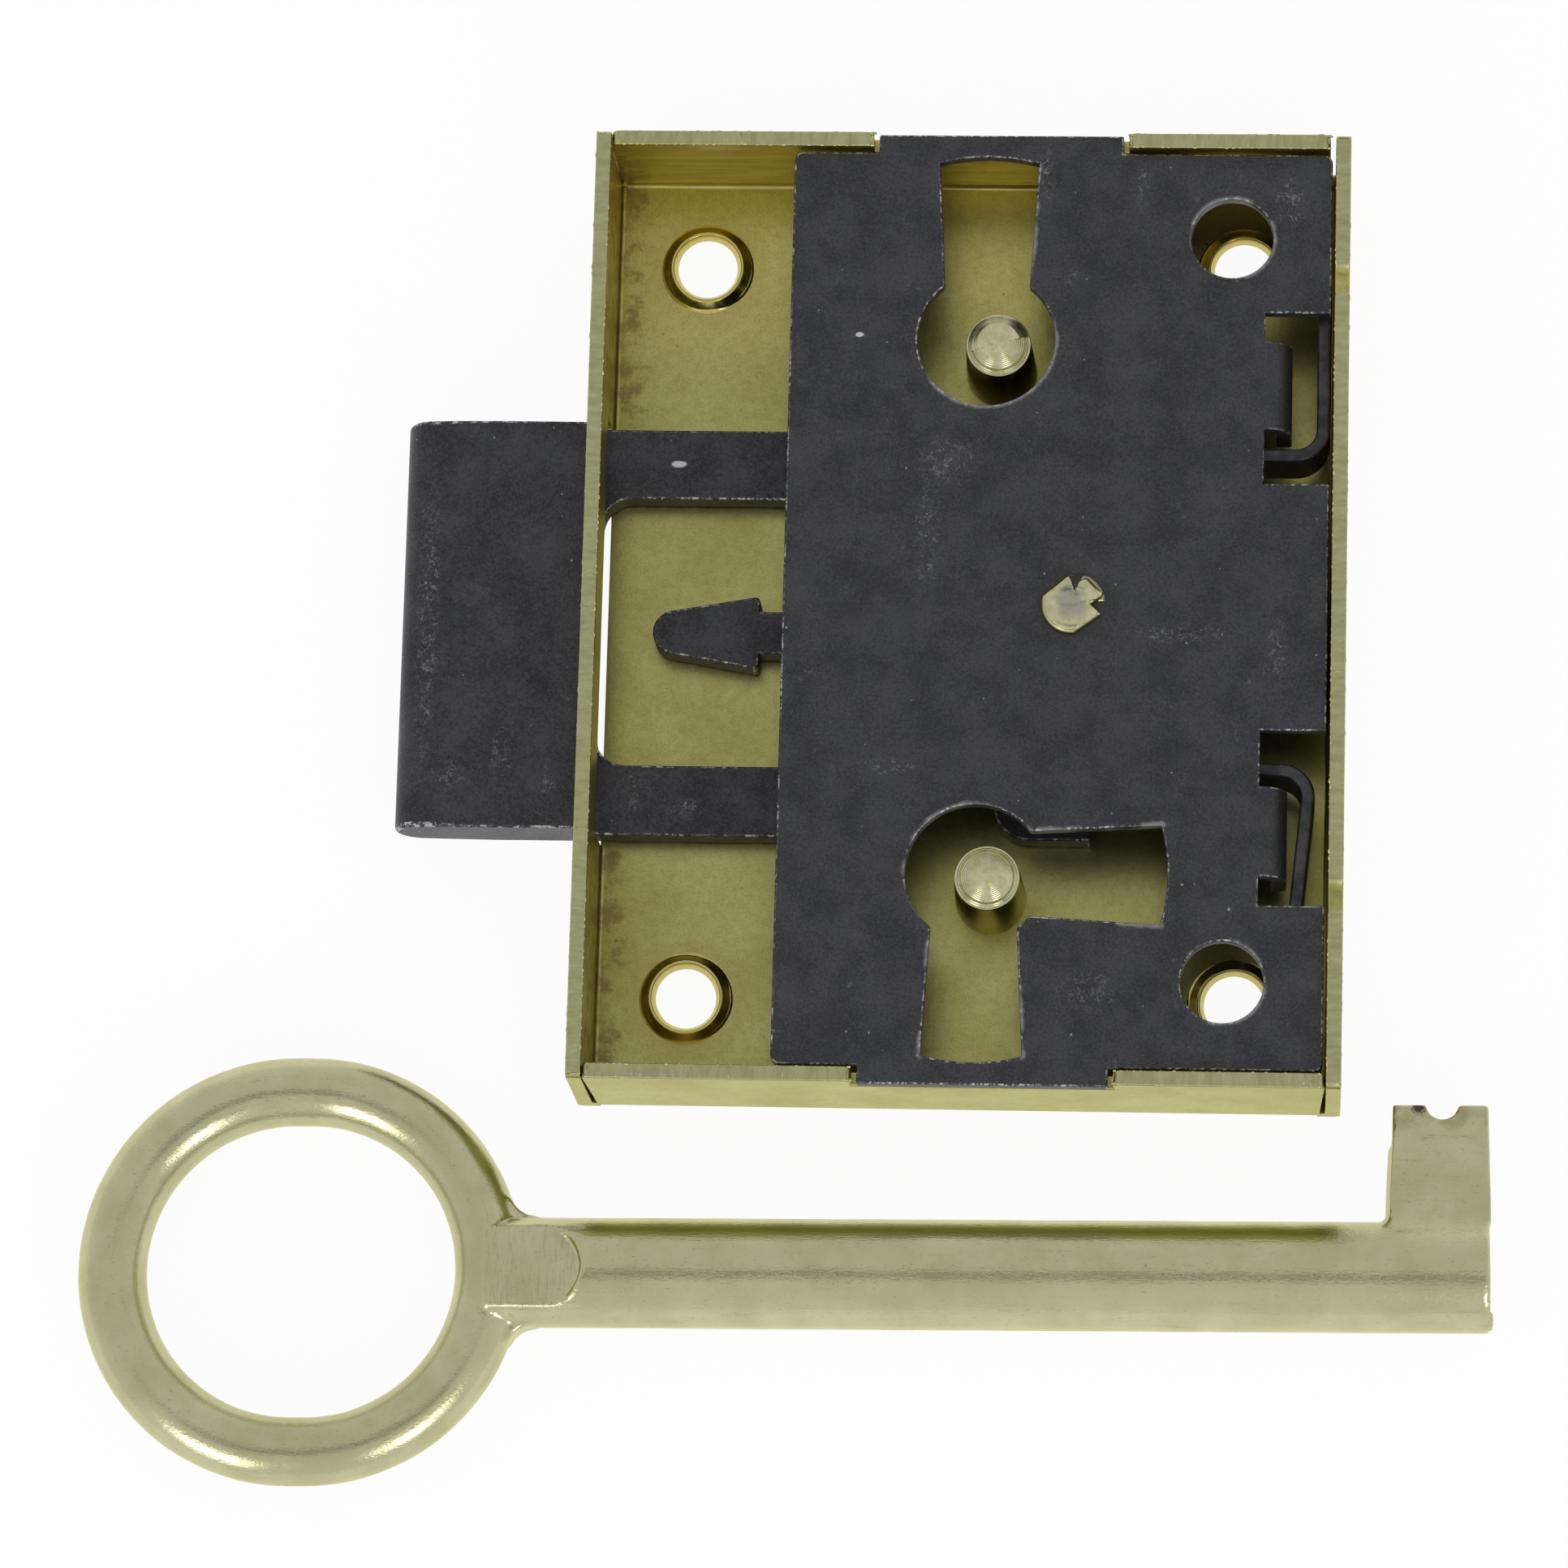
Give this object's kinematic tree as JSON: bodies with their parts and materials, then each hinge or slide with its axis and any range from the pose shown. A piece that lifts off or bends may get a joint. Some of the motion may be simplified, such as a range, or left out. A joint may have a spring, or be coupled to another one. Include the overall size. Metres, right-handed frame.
{
  "type": "cut cupboard lock",
  "caption": "Folded brass cupboard lock with a blued steel cover, a flat sliding bolt, keyholes for either hand and a pipe key.",
  "frame": {"origin": "middle of the case and of its four screw holes, on the outer face of the back plate", "axes": "+Z out of the back plate towards the cover, -X the way the bolt is thrown, +Y up to the keyhole with one slot"},
  "size_m": [0.0919, 0.09, 0.01],
  "materials": {
    "case_brass": "satin rolled sheet, lightly tarnished",
    "blued_steel": "blue-black oxide with bright wear on the edges",
    "spring_steel": "dark hardened strip",
    "turned_brass": "turned, pale and bright",
    "key_brass": "cast and tumbled, pale brass plating"
  },
  "bodies": {
    "lock": {"case": "case_brass", "cover_plate": "blued_steel", "upper_key_pin": "turned_brass", "lower_key_pin": "turned_brass", "centre_post": "turned_brass", "upper_leaf_spring": "spring_steel", "lower_leaf_spring": "spring_steel"},
    "bolt": {"bolt": "blued_steel"},
    "key": {"key": "key_brass"}
  },
  "joints": [
    {"name": "bolt_slide", "type": "slide", "parent": "lock", "child": "bolt", "axis": [1, 0, 0], "range_m": [0, 0.011]},
    {"name": "key_lift", "type": "slide", "parent": "lock", "child": "key", "axis": [0, 0, 1], "range_m": [0, 0.05]}
  ]
}
